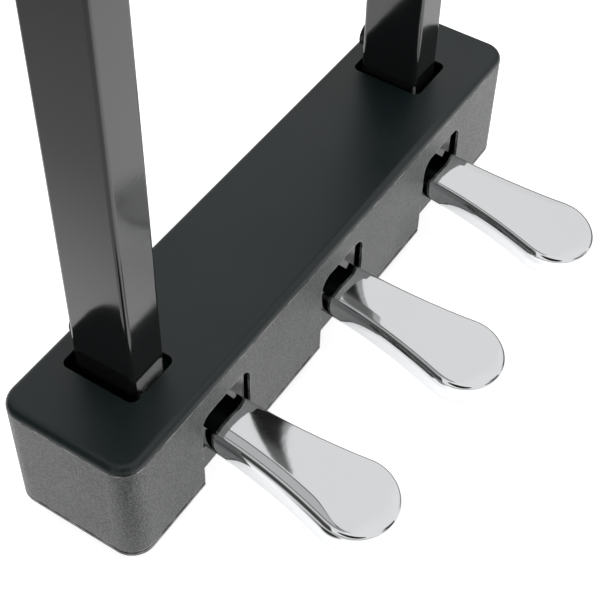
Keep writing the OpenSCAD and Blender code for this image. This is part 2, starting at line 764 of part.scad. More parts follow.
module pedal_screws(x) {
    color("silver") on_lever(x) for (y = [screw_near_y, screw_far_y]) translate([0, y, -lever_t / 2])
        screw(pedal_screw_dia, lever_t + pedal_screw_bite, pedal_head_dia, pedal_screw_head_h);
}

// Bushes: two flanged nylon sleeves from either side of the boss
module bushes(x) {
    barrel = lever_w / 2 - bush_end_gap;
    color("white") on_lever(x) for (sx = [0, 1]) mirror([sx, 0, 0])
        translate([lever_w / 2, 0, 0]) rotate([0, 90, 0]) difference() {
            union() {
                cylinder(r = bush_r + bush_flange_w, h = bush_flange_t);
                translate([0, 0, -barrel]) cylinder(r = bush_r, h = barrel);
            }
            translate([0, 0, -barrel - over])
                cylinder(r = pin_dia / 2 + fit_play, h = barrel + bush_flange_t + 2 * over);
        }
}

// Spring seat: a nylon foot under the lever, level with the floor at rest, with a peg into the lever
module spring_seat(x) {
    seat_y = (spring_back - pivot_back) / cos(pedal_tilt);
    color("white") {
        intersection() {
            seat() translate([x, spring_back, spring_top])
                cylinder(d = spring_dia + spring_wire, h = pivot_h);
            on_lever(x) translate([-lever_w, seat_y - lever_w, -lever_t / 2 - pivot_h])
                cube([2 * lever_w, 2 * lever_w, pivot_h]);
        }
        seat() translate([x, spring_back, spring_top - spring_peg_h])
            cylinder(d = spring_peg_dia, h = spring_peg_h + fuse);
        on_lever(x) translate([0, seat_y, -lever_t / 2 - fuse])
            cylinder(r = seat_peg_r, h = fuse + lever_t / 2);
    }
}

// Shutter: a clip over the lever with a thin blade that passes through the photo sensor
module shutter(x) {
    flag_y = (flag_back - pivot_back) / cos(pedal_tilt);
    saddle_half = lever_w / 2 + saddle_t;
    blade_h = board_h - sensor_h + blade_rise - lever_top_z(flag_back);
    color("black") on_lever(x) translate([0, flag_y, 0]) {
        difference() {
            translate([-saddle_half, -flag_w / 2, -lever_t / 2])
                cube([2 * saddle_half, flag_w, lever_t + saddle_t]);
            translate([-lever_w / 2, -flag_w / 2 - over, -lever_t / 2 - over])
                cube([lever_w, flag_w + 2 * over, lever_t + over]);
        }
        translate([-flag_t / 2, -flag_w / 2, lever_t / 2 + saddle_t / 2]) cube([flag_t, flag_w, blade_h]);
    }
}

module bracket_screw_places() {
    for (sx = sides) translate([sx * bracket_screw_x, bracket_screw_y, 0]) children();
    translate([0, bracket_screw_tail_y, 0]) children();
}

// Bracket: pressed steel with two outer guide cheeks, two pivot cheeks and a cross strap
module bracket(x) {
    guide_out = guide_gap / 2 + bracket_t;
    floor_y = notch_depth + flange_t + flange_play;
    cheek_y = strap_start - cheek_lead;
    color("gray") seat() translate([x, 0, 0]) difference() {
        union() {
            translate([-guide_out, floor_y, tray_t])
                cube([2 * guide_out, guide_front + guide_len - floor_y, bracket_t]);
            translate([-cheek_out, floor_y, tray_t]) cube([2 * cheek_out, cheek_end - floor_y, bracket_t]);
            for (sx = sides) {
                translate([sx * (guide_gap + bracket_t) / 2 - bracket_t / 2, guide_front, tray_t])
                    cube([bracket_t, guide_len, guide_h - tray_t]);
                translate([sx * (cheek_in + bracket_t / 2) - bracket_t / 2, cheek_y, tray_t])
                    cube([bracket_t, cheek_end - cheek_y, cheek_h - tray_t]);
            }
            translate([-cheek_out, strap_start, cheek_h - bracket_t])
                cube([2 * cheek_out, strap_w, bracket_t]);
            translate([0, spring_back, tray_t]) cylinder(d = spring_peg_dia, h = bracket_t + spring_peg_h);
        }
        translate([-cheek_out - over, pivot_back, pivot_h]) rotate([0, 90, 0])
            cylinder(d = pin_dia + 2 * fit_play, h = 2 * cheek_out + 2 * over);
        bracket_screw_places() cylinder(d = bracket_screw_dia + 2 * fit_play, h = bracket_floor_z + over);
        translate([0, strap_start + strap_w / 2, cheek_h - bracket_t - over])
            cylinder(d = board_screw_dia + 2 * fit_play, h = bracket_t + 2 * over);
        translate([0, down_stop_back, 0])
            cylinder(d = down_peg_dia + 2 * fit_play, h = bracket_floor_z + over);
    }
}

module bracket_screws() {
    length = bracket_floor_z + screw_bite;
    color("silver") seat() for (x = pedal_x) translate([x, 0, 0]) bracket_screw_places()
        screw(bracket_screw_dia, length, head_ratio * bracket_screw_dia, bracket_head_h);
}

// Pivot pin with a groove near each end for its clip
module pivot_pin(x) {
    color("silver") seat() translate([x, pivot_back, pivot_h]) rotate([0, 90, 0]) difference() {
        translate([0, 0, -pin_half]) cylinder(d = pin_dia, h = 2 * pin_half);
        for (sx = [0, 1]) mirror([0, 0, sx]) translate([0, 0, cheek_out + contact_play]) difference() {
            cylinder(d = pin_dia + over, h = clip_t + contact_play);
            translate([0, 0, -over]) cylinder(d = pin_dia - 2 * clip_depth, h = clip_t + 2 * over);
        }
    }
}

// Spring clips, open on one side, in the grooves of the pins
module pin_clips() {
    inner = pin_dia / 2 - clip_depth + contact_play;
    color("silver") seat() for (x = pedal_x) translate([x, pivot_back, pivot_h]) rotate([0, 90, 0])
        for (sx = [0, 1]) mirror([0, 0, sx]) translate([0, 0, cheek_out + contact_play]) difference() {
            cylinder(r = pin_dia / 2 + clip_w, h = clip_t);
            translate([0, 0, -over]) cylinder(r = inner, h = clip_t + 2 * over);
            translate([0, -inner * clip_mouth / 2, -over])
                cube([pin_dia, inner * clip_mouth, clip_t + 2 * over]);
        }
}

// Return spring: one wire wound from the bracket's floor to the seat
function spring_centre(i) = let (a = 360 * i / rings_a_turn)
    [cos(a) * spring_dia / 2, sin(a) * spring_dia / 2, spring_low + spring_pitch * i / rings_a_turn];
function spring_ring(i) = let (a = 360 * i / rings_a_turn, c = spring_centre(i), r = spring_wire / 2)
    [for (k = [0:ring_sides - 1]) let (b = 360 * k / ring_sides, out = r * cos(b), up = r * sin(b))
        c + [out * cos(a) + up * sin(spring_slope) * sin(a),
            out * sin(a) - up * sin(spring_slope) * cos(a), up * cos(spring_slope)]];
spring_points = [for (i = [0:spring_rings]) each spring_ring(i)];
spring_faces = concat(
    [[for (k = [0:ring_sides - 1]) k]],
    [for (i = [0:spring_rings - 1], k = [0:ring_sides - 1]) let (a = i * ring_sides, m = (k + 1) % ring_sides)
        each [[a + k, a + ring_sides + k, a + m], [a + m, a + ring_sides + k, a + ring_sides + m]]],
    [[for (k = [ring_sides - 1:-1:0]) spring_rings * ring_sides + k]]);
spring_least_gap = min([for (i = [0:spring_rings - rings_a_turn])
    norm(spring_centre(i + rings_a_turn) - spring_centre(i))]) - spring_wire;
echo(spring_least_gap = spring_least_gap);

module return_spring(x) {
    color("silver") seat() translate([x, spring_back, 0]) polyhedron(spring_points, spring_faces);
}

// Up stop: a felt block under the cross strap, cut to the slope of the lever
module up_stop(x) {
    y0 = strap_start + stop_inset;
    y1 = strap_start + strap_w - stop_inset;
    strap_low = cheek_h - bracket_t;
    color("darkgreen") seat() translate([x - up_stop_w / 2, 0, 0]) difference() {
        rotate([90, 0, 90]) linear_extrude(height = up_stop_w)
            polygon([[y0, strap_low], [y0, lever_top_z(y0) + stop_gap],
                [y1, lever_top_z(y1) + stop_gap], [y1, strap_low]]);
        translate([up_stop_w / 2, strap_start + strap_w / 2, strap_low - screw_bite])
            cylinder(d = stop_hole_dia, h = screw_bite + over);
    }
}

// Down stop: a rubber buffer on the bracket's floor, low enough for the lever at full travel
module down_stop(x) {
    dome = 1.4;
    r = down_stop_dia / 2;
    top = lever_low_z(down_stop_back - r, pedal_tilt + pedal_travel) - stop_gap - bracket_floor_z;
    color("black") seat() translate([x, down_stop_back, 0]) {
        translate([0, 0, bracket_floor_z]) rotate_extrude()
            polygon([[0, 0], [r, 0], [r, top - dome], [r - dome, top], [0, top]]);
        translate([0, 0, tray_t + contact_play]) cylinder(d = down_peg_dia, h = bracket_t);
    }
}

// Sensor board: one long board over the three levers
module sensor_board() {
    color("darkgreen") seat() translate([0, 0, board_h]) difference() {
        translate([-board_len / 2, board_start, 0]) cube([board_len, board_w, board_t]);
        for (x = pedal_x) translate([x, strap_start + strap_w / 2, -over])
            cylinder(d = board_screw_dia + 2 * fit_play, h = board_t + 2 * over);
    }
}

module photo_sensors() {
    foot_t = 3;
    tower_w = (sensor_len - sensor_slot) / 2;
    color("black") seat() for (x = pedal_x) translate([x, flag_back - sensor_w / 2, board_h]) {
        translate([-sensor_len / 2, 0, -foot_t]) cube([sensor_len, sensor_w, foot_t]);
        for (sx = sides) translate([sx * (sensor_len + sensor_slot) / 4 - tower_w / 2, 0, -sensor_h])
            cube([tower_w, sensor_w, sensor_h - foot_t + fuse]);
    }
}

module board_spacers() {
    length = board_h - cheek_h;
    color("goldenrod") seat() for (x = pedal_x) translate([x, strap_start + strap_w / 2, cheek_h])
        difference() {
            union() {
                cylinder(d = spacer_dia, h = length);
                translate([0, 0, -bracket_t]) cylinder(d = board_screw_dia, h = bracket_t + fuse);
            }
            translate([0, 0, length - 2 * screw_bite])
                cylinder(d = board_screw_dia + 2 * fit_play, h = 2 * screw_bite + over);
        }
}

module board_screws() {
    length = board_t + 2 * screw_bite - fuse;
    color("silver") seat() for (x = pedal_x) translate([x, strap_start + strap_w / 2, board_h + board_t])
        rotate([180, 0, 0]) screw(board_screw_dia, length, small_head_dia, small_head_h);
}

module board_connector() {
    color("ivory") seat() translate([socket_x - plug_w / 2, plug_y - plug_d / 2, board_h - plug_h])
        cube([plug_w, plug_d, plug_h]);
}

// Wiring loom: loose wires from the board's connector down and back to the socket
module wiring_loom() {
    color("firebrick") seat() for (i = [0:wire_count - 1])
        translate([socket_x + (i - (wire_count - 1) / 2) * wire_step, plug_y, 0]) {
            translate([0, 0, socket_h + wire_bend])
                cylinder(d = wire_dia, h = board_h - plug_h - socket_h - wire_bend);
            translate([0, wire_bend, socket_h + wire_bend]) rotate([0, -90, 0]) rotate([0, 0, 180])
                rotate_extrude(angle = 90) translate([wire_bend, 0]) circle(d = wire_dia);
            translate([0, wire_bend, socket_h]) rotate([-90, 0, 0])
                cylinder(d = wire_dia, h = socket_back_y - plug_y - wire_bend);
        }
}

// Rear socket: a round panel socket with its plate outside the wall
module rear_socket() {
    color("black") seat() translate([socket_x, housing_d, socket_h]) rotate([90, 0, 0]) difference() {
        union() {
            translate([0, 0, -socket_plate_t]) linear_extrude(height = socket_plate_t)
                rounded_rect(socket_plate_w, socket_plate_h, socket_plate_r);
            cylinder(r = barrel_r, h = socket_depth + socket_floor);
        }
        translate([0, 0, -socket_plate_t - over])
            cylinder(d = socket_bore, h = socket_depth + socket_plate_t + over);
        for (i = [-2:2]) rotate([0, 0, contact_turn * i])
            translate([0, -socket_bore / 4, socket_depth - over])
                cylinder(d = contact_dia, h = contact_depth + over);
        for (sx = sides) translate([sx * socket_screw_gap / 2, 0, -socket_plate_t - over])
            cylinder(d = small_screw_dia + 2 * fit_play, h = socket_plate_t + 2 * over);
    }
}

module socket_screws() {
    length = socket_plate_t + wall_t + screw_bite;
    color("silver") seat() for (sx = sides)
        translate([socket_x + sx * socket_screw_gap / 2, housing_d + socket_plate_t, socket_h])
            rotate([90, 0, 0]) screw(small_screw_dia, length, small_head_dia, small_head_h);
}

top_cover();
wall_shell();
base_tray();
base_gasket();
rubber_feet();
base_screws();
cover_screws();
foot_screws();
bracket_screws();
upright(-upright_x);  // left_upright
upright(upright_x);  // right_upright
end_cap(-upright_x);  // left_end_cap
end_cap(upright_x);  // right_end_cap
spigot(-1);  // left_spigot
spigot(1);  // right_spigot
spigot_screws();
upright_bolts();
pedal(-pedal_pitch);  // left_pedal
pedal(0);  // middle_pedal
pedal(pedal_pitch);  // right_pedal
lever(-pedal_pitch);  // left_lever
lever(0);  // middle_lever
lever(pedal_pitch);  // right_lever
pedal_screws(-pedal_pitch);  // left_pedal_screws
pedal_screws(0);  // middle_pedal_screws
pedal_screws(pedal_pitch);  // right_pedal_screws
bushes(-pedal_pitch);  // left_bushes
bushes(0);  // middle_bushes
bushes(pedal_pitch);  // right_bushes
spring_seat(-pedal_pitch);  // left_spring_seat
spring_seat(0);  // middle_spring_seat
spring_seat(pedal_pitch);  // right_spring_seat
shutter(-pedal_pitch);  // left_shutter
shutter(0);  // middle_shutter
shutter(pedal_pitch);  // right_shutter
bracket(-pedal_pitch);  // left_bracket
bracket(0);  // middle_bracket
bracket(pedal_pitch);  // right_bracket
pivot_pin(-pedal_pitch);  // left_pivot_pin
pivot_pin(0);  // middle_pivot_pin
pivot_pin(pedal_pitch);  // right_pivot_pin
pin_clips();
return_spring(-pedal_pitch);  // left_return_spring
return_spring(0);  // middle_return_spring
return_spring(pedal_pitch);  // right_return_spring
up_stop(-pedal_pitch);  // left_up_stop
up_stop(0);  // middle_up_stop
up_stop(pedal_pitch);  // right_up_stop
down_stop(-pedal_pitch);  // left_down_stop
down_stop(0);  // middle_down_stop
down_stop(pedal_pitch);  // right_down_stop
sensor_board();
photo_sensors();
board_spacers();
board_screws();
board_connector();
wiring_loom();
rear_socket();
socket_screws();
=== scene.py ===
import math

import bmesh
import bpy
from mathutils import Matrix, Vector


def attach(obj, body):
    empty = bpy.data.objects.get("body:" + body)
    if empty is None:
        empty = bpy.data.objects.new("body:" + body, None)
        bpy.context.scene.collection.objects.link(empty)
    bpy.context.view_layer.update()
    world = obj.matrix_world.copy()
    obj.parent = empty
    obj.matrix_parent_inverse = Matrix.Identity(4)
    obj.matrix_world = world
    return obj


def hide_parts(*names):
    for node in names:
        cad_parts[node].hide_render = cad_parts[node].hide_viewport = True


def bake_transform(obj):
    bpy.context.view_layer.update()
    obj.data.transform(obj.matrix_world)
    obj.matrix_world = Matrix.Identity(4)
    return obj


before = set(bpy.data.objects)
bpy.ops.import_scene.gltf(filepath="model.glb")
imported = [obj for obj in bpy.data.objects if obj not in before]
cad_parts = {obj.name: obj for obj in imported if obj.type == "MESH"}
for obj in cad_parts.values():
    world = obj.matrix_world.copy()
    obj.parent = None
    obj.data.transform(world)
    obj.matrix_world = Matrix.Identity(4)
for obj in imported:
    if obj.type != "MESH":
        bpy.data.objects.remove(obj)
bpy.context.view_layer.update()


# Camera. It stands in front of the unit's left end and looks down over the left
# upright, tilted a little to one side.
camera_place = Vector((-0.36197, -0.19876, 0.50636))
camera_azimuth = math.radians(58.319)
camera_down = math.radians(48.949)
camera_roll = math.radians(1.721)
looks_along = Vector((math.sin(camera_azimuth) * math.cos(camera_down),
                      math.cos(camera_azimuth) * math.cos(camera_down), -math.sin(camera_down)))
level_right = Vector((math.cos(camera_azimuth), -math.sin(camera_azimuth), 0))
level_up = level_right.cross(looks_along)
camera_right = level_right * math.cos(camera_roll) + level_up * math.sin(camera_roll)
camera_up = level_up * math.cos(camera_roll) - level_right * math.sin(camera_roll)
camera_data = bpy.data.cameras.new("camera")
camera_data.lens = 81.605
camera_data.sensor_width = 36
camera_data.clip_start = 0.01
camera = bpy.data.objects.new("camera", camera_data)
bpy.context.scene.collection.objects.link(camera)
camera.matrix_world = Matrix.Translation(camera_place) @ Matrix(
    (camera_right, camera_up, -looks_along)).transposed().to_4x4()
bpy.context.scene.camera = camera
bpy.context.scene.view_settings.view_transform = "Standard"


# Studio. A white floor in a tent of pale cloth, bright on the right and overhead and open to a dim room on
# the left, with a white card in front. Where the floor shows in polished and glossy surfaces it carries
# painted shade. The cloth's seams run front to back, and soft panels light the unit from above and from three
# sides.
def add_node(tree, kind, **settings):
    node = tree.nodes.new(kind)
    for key, value in settings.items():
        if hasattr(node, key):
            setattr(node, key, value)
        else:
            node.inputs[key.replace("_", " ")].default_value = value
    return node


def maths(tree, operation, first, second):
    node = add_node(tree, "ShaderNodeMath", operation=operation)
    for socket, value in zip(node.inputs, (first, second)):
        if isinstance(value, (int, float)):
            socket.default_value = value
        else:
            tree.links.new(value, socket)
    return node.outputs[0]


def level_range(tree, low, high, low_level=0.0, high_level=1.0, kind="LINEAR"):
    node = add_node(tree, "ShaderNodeMapRange", interpolation_type=kind)
    node.inputs["From Min"].default_value = low
    node.inputs["From Max"].default_value = high
    node.inputs["To Min"].default_value = low_level
    node.inputs["To Max"].default_value = high_level
    return node


# Painted shade on the floor as seen in reflections: it dims from floor_near to floor_far, towards the left
# past floor_left_near, and in a dark round spot by the housing's near left corner.
floor_seen_level, floor_mirrored_level, floor_white = 0.76, 0.62, 0.76
floor_near, floor_far, floor_far_level = 0.2, 0.62, 0.6
floor_left_near, floor_left_far, floor_left_level = -0.15, -0.28, 0.45
corner_shade_spot, shade_spot_inner, shade_spot_outer, shade_spot_level = Vector((-0.202, -0.034, 0)), 0.03, 0.058, 0.03
bpy.ops.object.select_all(action="DESELECT")
bpy.ops.mesh.primitive_plane_add(size=12, location=(0, 0, 0))
floor = bpy.context.object
floor.name = "studio_floor"
floor_paint = bpy.data.materials.new("studio_floor")
floor_paint.use_nodes = True
tree = floor_paint.node_tree
tree.nodes.clear()
links = tree.links
floor_place = add_node(tree, "ShaderNodeTexCoord")
floor_way = add_node(tree, "ShaderNodeVectorMath", operation="LENGTH")
floor_fade = level_range(tree, floor_near, floor_far, 0.0, 1 - floor_far_level, "SMOOTHSTEP")
floor_rays = add_node(tree, "ShaderNodeLightPath")
floor_split = add_node(tree, "ShaderNodeSeparateXYZ")
floor_left = level_range(tree, floor_left_far, floor_left_near, floor_left_level, 1.0, "SMOOTHSTEP")
links.new(floor_place.outputs["Object"], floor_way.inputs[0])
links.new(floor_place.outputs["Object"], floor_split.inputs[0])
links.new(floor_split.outputs["X"], floor_left.inputs["Value"])
links.new(floor_way.outputs["Value"], floor_fade.inputs["Value"])
floor_corner = add_node(tree, "ShaderNodeVectorMath", operation="DISTANCE")
floor_corner.inputs[1].default_value = corner_shade_spot
floor_shade_spot = level_range(tree, shade_spot_inner, shade_spot_outer, shade_spot_level, 1.0, "SMOOTHSTEP")
links.new(floor_place.outputs["Object"], floor_corner.inputs[0])
links.new(floor_corner.outputs["Value"], floor_shade_spot.inputs["Value"])
# The three painted shade factors multiply, and only glossy rays see the floor darkened by them, in both its
# colour and its glow.
painted_floor_light = maths(tree, "MULTIPLY", maths(tree, "SUBTRACT", 1.0, floor_fade.outputs[0]), floor_left.outputs[0])
painted_floor_light = maths(tree, "MULTIPLY", painted_floor_light, floor_shade_spot.outputs[0])
painted_floor_shade = maths(tree, "MULTIPLY", maths(tree, "SUBTRACT", 1.0, painted_floor_light), floor_rays.outputs["Is Glossy Ray"])
kept = maths(tree, "SUBTRACT", 1.0, painted_floor_shade)
mirrored = maths(tree, "MAXIMUM", floor_rays.outputs["Is Glossy Ray"],
                 floor_rays.outputs["Is Transmission Ray"])
glow_seen = maths(tree, "MULTIPLY", floor_rays.outputs["Is Camera Ray"], floor_seen_level)
glow_mirrored = maths(tree, "MULTIPLY", maths(tree, "MULTIPLY", mirrored, floor_mirrored_level), kept)
glow = maths(tree, "MAXIMUM", glow_seen, glow_mirrored)
floor_colour = add_node(tree, "ShaderNodeBsdfDiffuse")
floor_tint = add_node(tree, "ShaderNodeCombineColor")
floor_level = maths(tree, "MULTIPLY", kept, floor_white)
for channel in ("Red", "Green", "Blue"):
    links.new(floor_level, floor_tint.inputs[channel])
links.new(floor_tint.outputs[0], floor_colour.inputs["Color"])
floor_glow = add_node(tree, "ShaderNodeEmission")
links.new(glow, floor_glow.inputs["Strength"])
floor_both = add_node(tree, "ShaderNodeAddShader")
floor_out = add_node(tree, "ShaderNodeOutputMaterial")
links.new(floor_colour.outputs[0], floor_both.inputs[0])
links.new(floor_glow.outputs[0], floor_both.inputs[1])
floor_side = add_node(tree, "ShaderNodeNewGeometry")
floor_clear = add_node(tree, "ShaderNodeBsdfTransparent")
floor_mix = add_node(tree, "ShaderNodeMixShader")
links.new(floor_side.outputs["Backfacing"], floor_mix.inputs[0])
links.new(floor_both.outputs[0], floor_mix.inputs[1])
links.new(floor_clear.outputs[0], floor_mix.inputs[2])
links.new(floor_mix.outputs[0], floor_out.inputs["Surface"])
floor.data.materials.append(floor_paint)

# The cloth of the tent, from the right horizon over the top to the left horizon:
# angle in degrees and level, with two dark seams. The white card in front shows in
# polished metal alone, and so do the two dark round holes in it.
tent = [(0, 0.08), (20, 0.12), (27, 0.72), (34, 0.8), (72.8, 0.8), (73.2, 0.04), (75.8, 0.04), (76.2, 0.5),
        (80.3, 0.5), (80.7, 0.04), (84.5, 0.04), (85, 0.62), (114, 0.6), (119, 0.1), (150, 0.07), (180, 0.04)]
card_level, card_near_y, card_far_y = 0.85, 0.12, 0.06
card_end_x, card_edge_x = 0.72, 0.8
card_low_from, card_low_to, card_lowered = -0.2, 0.05, 0.25
hole_level = 0.02
holes = ((Vector((-0.65, -0.54, 0.534)), 23, 25), (Vector((0.277, -0.877, 0.388)), 12, 14))
sky = bpy.data.worlds.new("studio_sky")
bpy.context.scene.world = sky
sky.use_nodes = True
tree = sky.node_tree
tree.nodes.clear()
links = tree.links
sky_place = add_node(tree, "ShaderNodeTexCoord")
sky_split = add_node(tree, "ShaderNodeSeparateXYZ")
sky_ramp = add_node(tree, "ShaderNodeValToRGB")
sky_rays = add_node(tree, "ShaderNodeLightPath")
sky_seen = add_node(tree, "ShaderNodeMix", data_type="RGBA")
sky_light = add_node(tree, "ShaderNodeBackground")
sky_out = add_node(tree, "ShaderNodeOutputWorld")
links.new(sky_place.outputs["Generated"], sky_split.inputs[0])
round_angle = maths(tree, "ARCTAN2", sky_split.outputs["Z"], sky_split.outputs["X"])
links.new(maths(tree, "DIVIDE", round_angle, math.pi), sky_ramp.inputs[0])
links.new(sky_rays.outputs["Is Camera Ray"], sky_seen.inputs[0])
card_front = level_range(tree, card_near_y, card_far_y)
card_side = level_range(tree, card_edge_x, card_end_x)
hole_mask = 0.0
for way, inner, outer in holes:
    hole_match = add_node(tree, "ShaderNodeVectorMath", operation="DOT_PRODUCT")
    hole_match.inputs[1].default_value = way.normalized()
    hole_range = level_range(tree, math.cos(math.radians(outer)), math.cos(math.radians(inner)))
    links.new(sky_place.outputs["Generated"], hole_match.inputs[0])
    links.new(hole_match.outputs["Value"], hole_range.inputs["Value"])
    hole_mask = maths(tree, "MAXIMUM", hole_mask, hole_range.outputs[0])
sky_card = add_node(tree, "ShaderNodeMix", data_type="RGBA")
sky_hole = add_node(tree, "ShaderNodeMix", data_type="RGBA")
card_drop = level_range(tree, card_low_from, card_low_to, 0.0, card_lowered)
links.new(sky_split.outputs["X"], card_drop.inputs["Value"])
links.new(maths(tree, "ADD", sky_split.outputs["Y"], card_drop.outputs[0]), card_front.inputs["Value"])
links.new(sky_split.outputs["X"], card_side.inputs["Value"])
card_mask = maths(tree, "MULTIPLY", card_front.outputs[0], card_side.outputs[0])
links.new(maths(tree, "MULTIPLY", card_mask, sky_rays.outputs["Is Glossy Ray"]), sky_card.inputs[0])
links.new(maths(tree, "MULTIPLY", hole_mask, sky_rays.outputs["Is Glossy Ray"]), sky_hole.inputs[0])
links.new(sky_ramp.outputs[0], sky_card.inputs[6])
sky_card.inputs[7].default_value = (card_level, card_level, card_level, 1)
links.new(sky_card.outputs[2], sky_hole.inputs[6])
sky_hole.inputs[7].default_value = (hole_level, hole_level, hole_level, 1)
links.new(sky_hole.outputs[2], sky_seen.inputs[6])
sky_seen.inputs[7].default_value = (1, 1, 1, 1)
links.new(sky_seen.outputs[2], sky_light.inputs["Color"])
links.new(sky_light.outputs[0], sky_out.inputs["Surface"])
while len(sky_ramp.color_ramp.elements) < len(tent):
    sky_ramp.color_ramp.elements.new(1.0)
for element, (angle, level) in zip(sky_ramp.color_ramp.elements, tent):
    element.position = angle / 180
    element.color = (level, level, level, 1)

for name, place, width, height, power in (
        ("panel_overhead", (0.2, 0.0, 1.6), 1.6, 1.2, 9),
        ("panel_right_front", (1.1, -1.2, 0.8), 1.0, 0.8, 4),
        ("panel_left_front", (-1.0, -1.2, 0.35), 0.5, 0.4, 8),
        ("panel_left_rear", (-1.3, 0.7, 0.6), 1.0, 0.8, 5)):
    panel_data = bpy.data.lights.new(name, "AREA")
    panel_data.shape = "RECTANGLE"
    panel_data.size = width
    panel_data.size_y = height
    panel_data.energy = power
    panel = bpy.data.objects.new(name, panel_data)
    bpy.context.scene.collection.objects.link(panel)
    panel.location = place
    panel.rotation_euler = (-Vector(place)).to_track_quat("-Z", "Y").to_euler()
    panel.visible_glossy = False


# Base tray and wall band: bent from thin sheet steel and powder coated in charcoal with a fine texture. The
# coat is matt and stippled, and its edges are paler: partly rubbed wear, partly a painted highlight along the
# rims where they catch the light.
def group_of(name, inputs, outputs):
    group = bpy.data.node_groups.new(name, "ShaderNodeTree")
    for label, kind, value in inputs:
        socket = group.interface.new_socket(label, in_out="INPUT", socket_type=kind)
        if value is not None:
            socket.default_value = value
    for label, kind in outputs:
        group.interface.new_socket(label, in_out="OUTPUT", socket_type=kind)
    return group, group.nodes.new("NodeGroupInput"), group.nodes.new("NodeGroupOutput")


grain, grain_in, grain_out = group_of(
    "fine_grain",
    [("Vector", "NodeSocketVector", None), ("Grain scale", "NodeSocketFloat", 2500.0),
     ("Cloud scale", "NodeSocketFloat", 30.0)],
    [("Height", "NodeSocketFloat"), ("Clouds", "NodeSocketFloat")])
grain_small = add_node(grain, "ShaderNodeTexNoise", Detail=3.0, Roughness=0.6)
grain_large = add_node(grain, "ShaderNodeTexNoise", Detail=4.0, Roughness=0.55)
grain.links.new(grain_in.outputs["Vector"], grain_small.inputs["Vector"])
grain.links.new(grain_in.outputs["Vector"], grain_large.inputs["Vector"])
grain.links.new(grain_in.outputs["Grain scale"], grain_small.inputs["Scale"])
grain.links.new(grain_in.outputs["Cloud scale"], grain_large.inputs["Scale"])
grain.links.new(grain_small.outputs["Fac"], grain_out.inputs["Height"])
grain.links.new(grain_large.outputs["Fac"], grain_out.inputs["Clouds"])

# Edge mask for rubbed wear and painted highlight: where the rounded normal turns away from the true one, in
# noisy patches.
flat_match, edge_match = 0.97, 0.8
bare_patch, full_patch = 0.42, 0.66
edge_wear_and_highlight, edge_wear_and_highlight_in, edge_wear_and_highlight_out = group_of(
    "edge_wear_and_highlight_group",
    [("Vector", "NodeSocketVector", None), ("Reach", "NodeSocketFloat", 0.0006),
     ("Amount", "NodeSocketFloat", 0.5)],
    [("Mask", "NodeSocketFloat")])
round_normal = add_node(edge_wear_and_highlight, "ShaderNodeBevel", samples=4)
true_normal = add_node(edge_wear_and_highlight, "ShaderNodeNewGeometry")
normal_match = add_node(edge_wear_and_highlight, "ShaderNodeVectorMath", operation="DOT_PRODUCT")
edge_range = level_range(edge_wear_and_highlight, flat_match, edge_match)
patches = add_node(edge_wear_and_highlight, "ShaderNodeTexNoise", Scale=180.0, Detail=3.0)
patch_range = level_range(edge_wear_and_highlight, bare_patch, full_patch)
edge_patches = add_node(edge_wear_and_highlight, "ShaderNodeMath", operation="MULTIPLY")
edge_amount = add_node(edge_wear_and_highlight, "ShaderNodeMath", operation="MULTIPLY")
edge_wear_and_highlight.links.new(edge_wear_and_highlight_in.outputs["Reach"], round_normal.inputs["Radius"])
edge_wear_and_highlight.links.new(round_normal.outputs[0], normal_match.inputs[0])
edge_wear_and_highlight.links.new(true_normal.outputs["Normal"], normal_match.inputs[1])
edge_wear_and_highlight.links.new(normal_match.outputs["Value"], edge_range.inputs["Value"])
edge_wear_and_highlight.links.new(edge_wear_and_highlight_in.outputs["Vector"], patches.inputs["Vector"])
edge_wear_and_highlight.links.new(patches.outputs["Fac"], patch_range.inputs["Value"])
edge_wear_and_highlight.links.new(edge_range.outputs[0], edge_patches.inputs[0])
edge_wear_and_highlight.links.new(patch_range.outputs[0], edge_patches.inputs[1])
edge_wear_and_highlight.links.new(edge_patches.outputs[0], edge_amount.inputs[0])
edge_wear_and_highlight.links.new(edge_wear_and_highlight_in.outputs["Amount"], edge_amount.inputs[1])
edge_wear_and_highlight.links.new(edge_amount.outputs[0], edge_wear_and_highlight_out.inputs["Mask"])


def blend_colour(tree, mask, first, second):
    mix = add_node(tree, "ShaderNodeMix", data_type="RGBA")
    if isinstance(first, tuple):
        mix.inputs[6].default_value = (*first, 1)
    else:
        tree.links.new(first, mix.inputs[6])
    mix.inputs[7].default_value = (*second, 1)
    tree.links.new(mask, mix.inputs[0])
    return mix.outputs[2]


cloud_thin, cloud_thick = 0.3, 0.7


